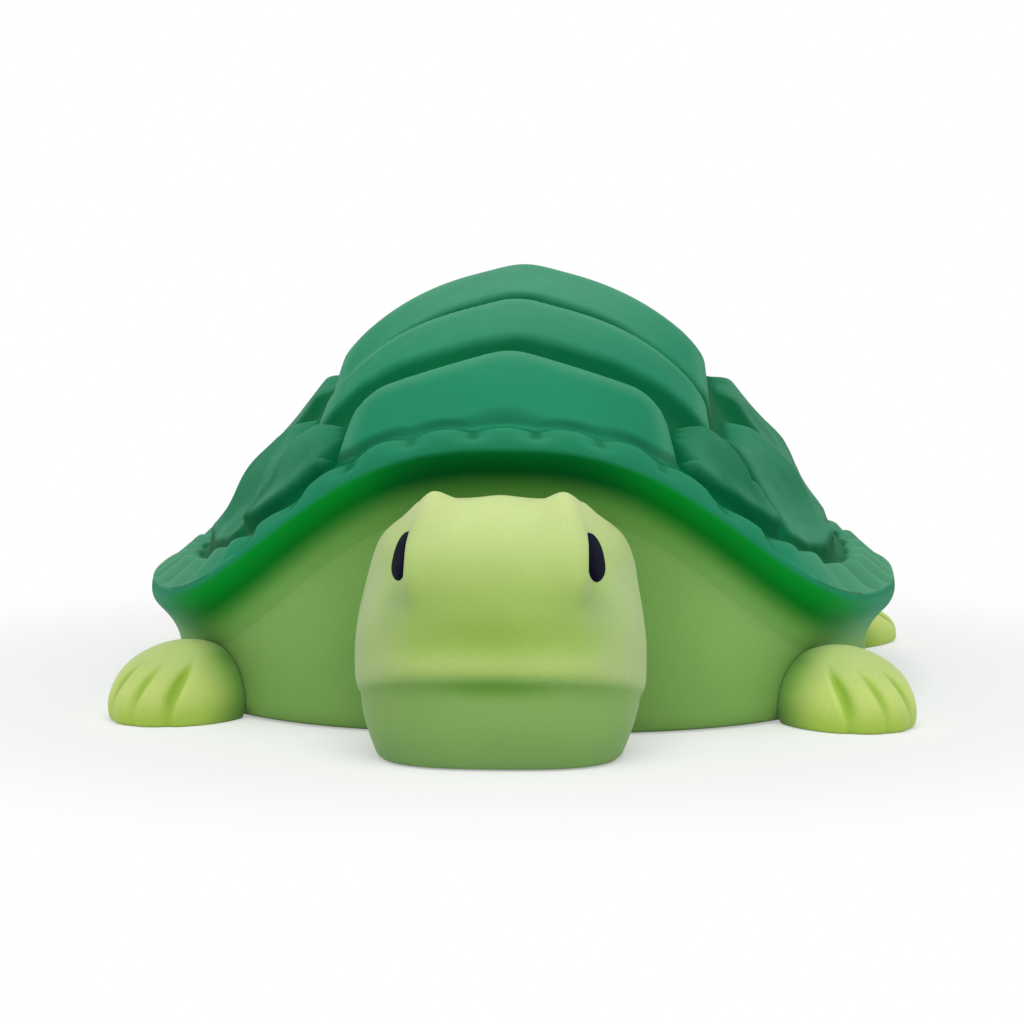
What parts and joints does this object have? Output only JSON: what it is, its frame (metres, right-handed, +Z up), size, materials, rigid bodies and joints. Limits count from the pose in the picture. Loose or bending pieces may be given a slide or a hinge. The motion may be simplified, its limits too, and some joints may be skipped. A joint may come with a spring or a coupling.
{
  "type": "squeezable toy turtle",
  "caption": "Soft toy turtle on a flat belly: a domed shell that sinks on a foam core and slowly rises, a head on a soft neck, set-in eyes, stubby feet and a tail.",
  "frame": {"origin": "on the floor, under the middle of the toy's box", "axes": "+Z up, the face looks along -Y, the turtle's left side is +X"},
  "size_m": [0.109, 0.1295, 0.0582],
  "materials": {
    "shell_green": "matte airbrushed skin on soft foam",
    "body_green": "matte skin on soft foam",
    "core_foam": "open-cell slow-rise foam",
    "head_green": "matte skin on soft foam",
    "eye_navy": "satin navy",
    "foot_green": "matte skin on soft foam"
  },
  "bodies": {
    "body": {"body": "body_green", "foam_core": "core_foam", "front_left_foot": "foot_green", "front_right_foot": "foot_green", "rear_left_foot": "foot_green", "rear_right_foot": "foot_green", "tail": "foot_green"},
    "shell": {"shell": "shell_green"},
    "head": {"head": "head_green", "left_eye": "eye_navy", "right_eye": "eye_navy"}
  },
  "joints": [
    {"name": "shell_press", "type": "slide", "parent": "body", "child": "shell", "axis": [0, 0, -1], "range_m": [0, 0.003], "stiffness_N_per_m": 800, "deforming": ["foam_core"]},
    {"name": "head_nod", "type": "hinge", "parent": "body", "child": "head", "pos_m": [0, -0.044, 0.01566], "axis": [-1, 0, 0], "range_deg": [0, 8], "stiffness_Nm_per_rad": 0.08}
  ]
}
